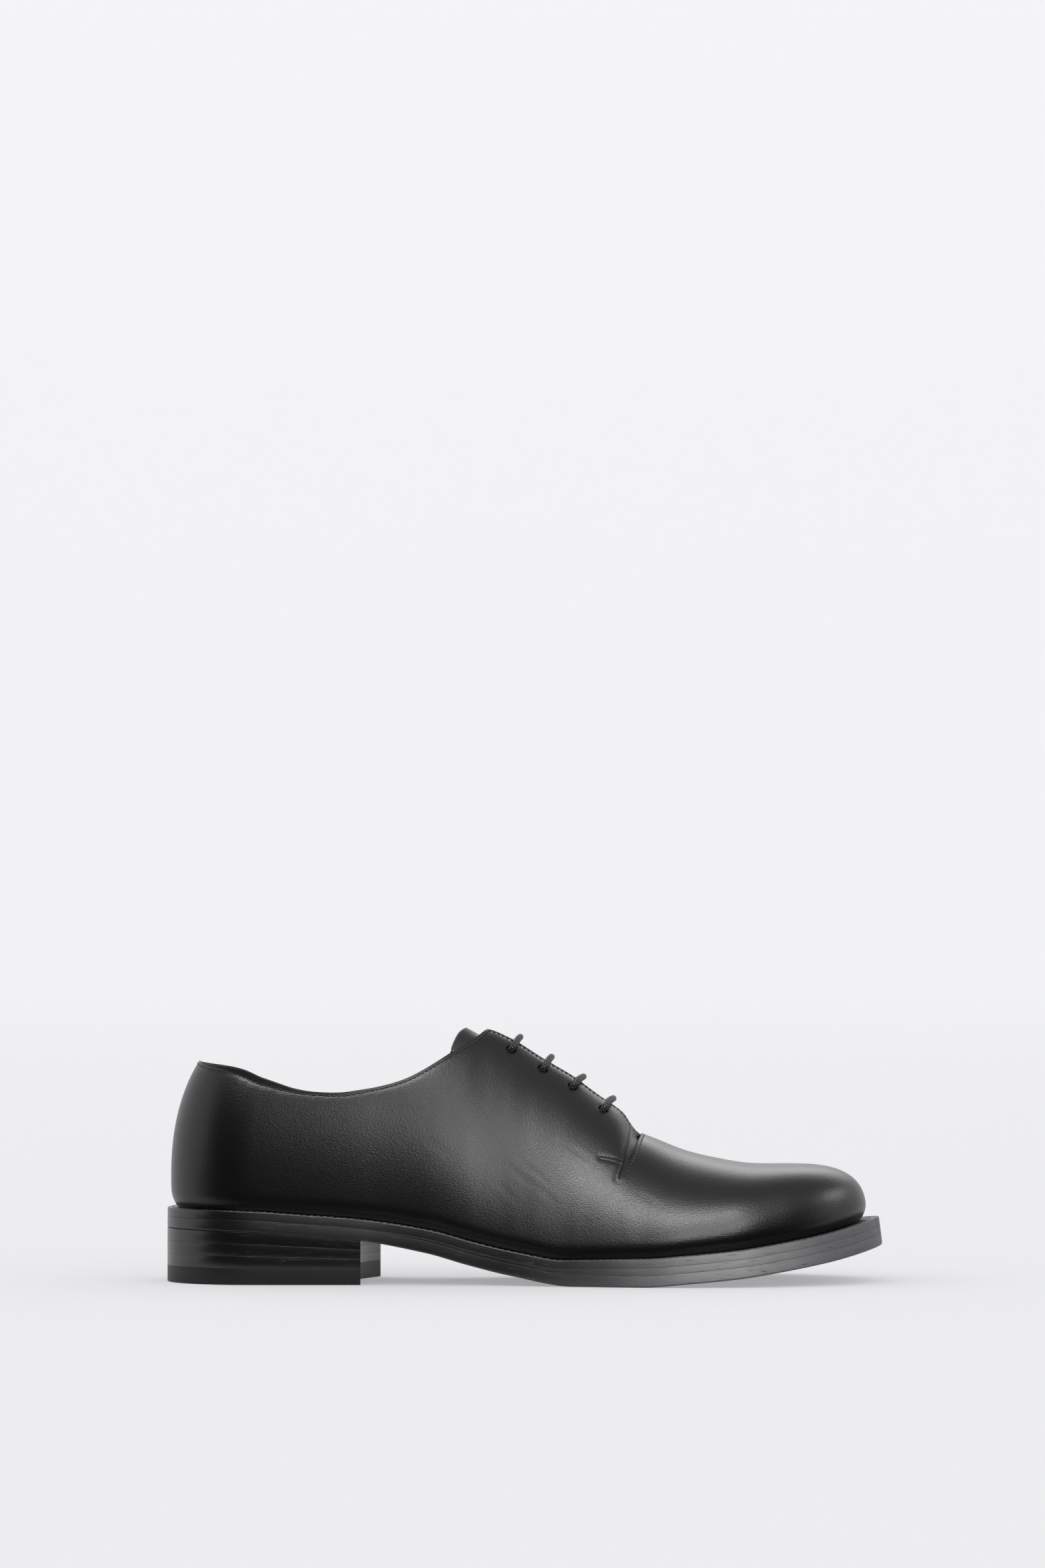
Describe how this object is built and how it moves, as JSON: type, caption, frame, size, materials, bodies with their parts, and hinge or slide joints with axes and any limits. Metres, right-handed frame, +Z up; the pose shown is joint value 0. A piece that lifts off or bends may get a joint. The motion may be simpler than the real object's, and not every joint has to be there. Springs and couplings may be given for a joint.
{
  "type": "derby shoe",
  "caption": "Black leather derby shoe for the right foot, with a plain toe, an open-laced instep, a welted leather sole and a stacked heel.",
  "frame": {"origin": "on the floor, under the middle of the shoe's box", "axes": "+X towards the toe, +Y towards the inner side of the foot, +Z up"},
  "size_m": [0.2998, 0.1078, 0.1057],
  "materials": {
    "calf": "smooth waxed box calf, soft sheen",
    "tongue_leather": "matt black calf",
    "insole_leather": "matt black sock leather",
    "sole_edge": "dyed and waxed sole leather edge",
    "heel_leather": "dyed and waxed stacked leather",
    "heel_rubber": "moulded black rubber, matt",
    "waxed_cord": "braided and waxed round cotton lace"
  },
  "bodies": {
    "root": {"upper": "calf", "tongue": "tongue_leather", "lace_bar_1": "waxed_cord", "lace_bar_2": "waxed_cord", "lace_bar_3": "waxed_cord", "lace_bar_4": "waxed_cord", "insole": "insole_leather", "welt": "sole_edge", "midsole": "sole_edge", "outsole": "sole_edge", "heel_lift_1": "heel_leather", "heel_lift_2": "heel_leather", "heel_lift_3": "heel_leather", "top_lift": "heel_rubber"}
  },
  "joints": []
}
